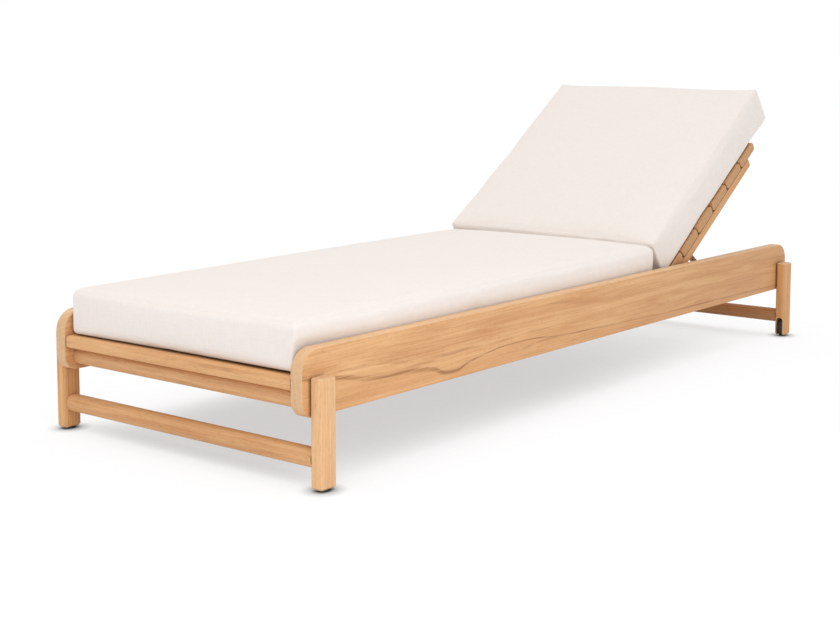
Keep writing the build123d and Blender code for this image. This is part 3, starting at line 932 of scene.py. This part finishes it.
seat_cover = cushion(
    "seat_cushion_cover",
    seat_ends,
    seat_height,
    (12 * MM, 20 * MM),
    (0.0, 0.05),
    0.0,
    settled,
    np.array([0.0, 0.0, slat_face]),
    np.array([0.0, 1.0, 0.0]),
    np.array([0.0, 0.0, 1.0]),
    seat_canvas,
    "frame",
)
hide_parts("seat_cushion")
back_cover = cushion(
    "back_cushion_cover",
    back_ends,
    back_height,
    (15 * MM, 8 * MM),
    (-0.055, 0.02),
    13 * MM,
    leaned,
    hinge + back_slat_face * off_face,
    up_slope,
    off_face,
    back_canvas,
    "back_cushion",
)
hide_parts("back_cushion")


# Screws

# Pan head with a round socket: radius and height of each ring, from the socket's floor out to the rim
HEAD_RINGS = np.array([(1.0, 0.4), (1.3, 1.1), (2.7, 1.0), (3.3, 0.6), (3.5, -0.4)]) * MM
head_sides = 14

# Places of the screws across, along and off the backrest's slope, from the hinge
stile_middle = 0.2895
leaf_face = 0.003
leaf_screw_start = 0.026
bracket_face = 0.263
bracket_middle = 0.24
bracket_screw_height = 0.017
screw_spread = 8.5 * MM


def screws(name, places, body):
    """Screw heads in one piece: each is a profile turned about its axis.

    A point is centre + r cos a first + r sin a second + h axis, with r and h from the profile.
    """
    turn = np.linspace(0, 2 * pi, head_sides, endpoint=False)
    points = []
    faces = []
    for centre, axis in places:
        start = len(points) * len(HEAD_RINGS) * head_sides
        first = np.cross(axis, up_slope if abs(axis[0]) > 0.5 else across)
        second = np.cross(axis, first)
        spokes = np.cos(turn)[:, None] * first + np.sin(turn)[:, None] * second
        rings = HEAD_RINGS[:, :1, None] * spokes + HEAD_RINGS[:, 1:, None] * axis
        points.append(centre + rings.reshape(-1, 3))
        head_faces = capped_faces(len(HEAD_RINGS), head_sides)
        faces += [[corner + start for corner in face[::-1]] for face in head_faces]
    new_piece(name, np.concatenate(points), faces, steel, body)


def backrest_place(x, along, off):
    """Place given across, along and off the backrest's slope."""
    return hinge + x * across + along * up_slope + off * off_face


screws(
    "hinge_screws",
    [
        (backrest_place(side * stile_middle + spread, leaf_screw_start, leaf_face), -off_face)
        for side in SIDES.values()
        for spread in (-screw_spread, screw_spread)
    ],
    "backrest",
)
screws(
    "bracket_screws",
    [
        (backrest_place(side * bracket_face, bracket_middle + spread, bracket_screw_height), -side * across)
        for side in SIDES.values()
        for spread in (-screw_spread, screw_spread)
    ],
    "backrest",
)


# Floor, backdrop and light

# Direction from which the floor's wide shade is cast, leaning to the foot end; how far the wide shade and
# the feet's contact shade reach, and the floor's half width
light_lean = (0.21, -0.503, 0.838)
wide_reach = 0.6
contact_reach = 30 * MM
floor_reach = 40.0

# White with a breath of blue, against the warm light that the teak throws on the floor
FLOOR_WHITE = (0.97, 0.985, 1.0, 1.0)

# Share of the floor's own glow in what the camera sees of it, and how bright the white surroundings are: to
# the camera and in reflections, and as light on the lounger
glow_share = 0.85
seen_strength = 1.0
light_strength = 0.76

# Key light from overhead, and the panel with its width, power, place and the place that it faces
key_strength = 0.85
key_spread = radians(50)
KEY_TURN = (radians(10), 0, radians(-25))
panel_width = 1.4
panel_power = 14.0
panel_place = (2.2, -1.9, 1.5)
panel_aim = Vector((0.3, -0.5, 0.2))


def white_floor():
    """Pale studio floor: a matt white sheet whose shadows are softened towards the white round it."""
    material, tree, shader = new_material("floor_white")
    shader.inputs["Base Color"].default_value = FLOOR_WHITE
    shader.inputs["Roughness"].default_value = 1.0
    shader.inputs["Specular IOR Level"].default_value = 0.0
    # the glow fades where the lounger stands within 0.6 m in the way of the light, and again within 30 mm of
    # the feet, which keep their dark line of contact
    lean = {"Distance": wide_reach, "Normal": light_lean}
    wide = add(tree, "ShaderNodeAmbientOcclusion", lean, samples=16)
    close = add(tree, "ShaderNodeAmbientOcclusion", {"Distance": contact_reach}, samples=8)
    shade = add(
        tree,
        "ShaderNodeMapRange",
        {"Value": wide.outputs["AO"], "From Min": 0.18, "From Max": 0.59, "To Min": 0.7, "To Max": 1.0},
    ).outputs[0]
    contact = add(tree, "ShaderNodeMath", {0: close.outputs["AO"], 1: 1.5}, operation="POWER").outputs[0]
    faded = add(tree, "ShaderNodeMath", {0: shade, 1: contact}, operation="MULTIPLY").outputs[0]
    glow = add(tree, "ShaderNodeEmission", {"Color": (1, 1, 1, 1), "Strength": faded})
    path = add(tree, "ShaderNodeLightPath")
    share = add(
        tree, "ShaderNodeMath", {0: path.outputs["Is Camera Ray"], 1: glow_share}, operation="MULTIPLY"
    ).outputs[0]
    mixed = add(tree, "ShaderNodeMixShader", {0: share, 1: shader.outputs[0], 2: glow.outputs[0]})
    output = next(each for each in tree.nodes if each.type == "OUTPUT_MATERIAL")
    tree.links.new(mixed.outputs[0], output.inputs["Surface"])
    data = bpy.data.meshes.new("floor")
    corners = [(x * floor_reach, y * floor_reach, 0) for x, y in ((-1, -1), (1, -1), (1, 1), (-1, 1))]
    data.from_pydata(corners, [], [(0, 1, 2, 3)])
    data.materials.append(material)
    floor = bpy.data.objects.new("floor", data)
    bpy.context.scene.collection.objects.link(floor)


def studio_light():
    """White surroundings, a wide soft key from overhead, and a panel beside the foot end on the right."""
    world = bpy.data.worlds.new("studio")
    world.use_nodes = True
    bpy.context.scene.world = world
    tree = world.node_tree
    tree.nodes.clear()
    path = add(tree, "ShaderNodeLightPath")
    seen = add(
        tree,
        "ShaderNodeMath",
        {0: path.outputs["Is Camera Ray"], 1: path.outputs["Is Glossy Ray"]},
        operation="MAXIMUM",
    ).outputs[0]
    seen = add(
        tree, "ShaderNodeMath", {0: seen, 1: path.outputs["Is Transmission Ray"]}, operation="MAXIMUM"
    ).outputs[0]
    strength = add(
        tree,
        "ShaderNodeMath",
        {0: seen, 1: seen_strength - light_strength, 2: light_strength},
        operation="MULTIPLY_ADD",
    ).outputs[0]
    sky = add(tree, "ShaderNodeBackground", {"Color": (1, 1, 1, 1), "Strength": strength})
    add(tree, "ShaderNodeOutputWorld", {"Surface": sky.outputs[0]})
    key = bpy.data.lights.new("key", "SUN")
    key.energy = key_strength
    key.angle = key_spread
    above = bpy.data.objects.new("key", key)
    above.rotation_euler = KEY_TURN
    bpy.context.scene.collection.objects.link(above)
    panel = bpy.data.lights.new("foot_panel", "AREA")
    panel.shape = "SQUARE"
    panel.size = panel_width
    panel.energy = panel_power
    beside = bpy.data.objects.new("foot_panel", panel)
    beside.location = panel_place
    beside.rotation_euler = (panel_aim - beside.location).to_track_quat("-Z", "Y").to_euler()
    bpy.context.scene.collection.objects.link(beside)


white_floor()
studio_light()
bpy.context.scene.view_settings.view_transform = "Standard"
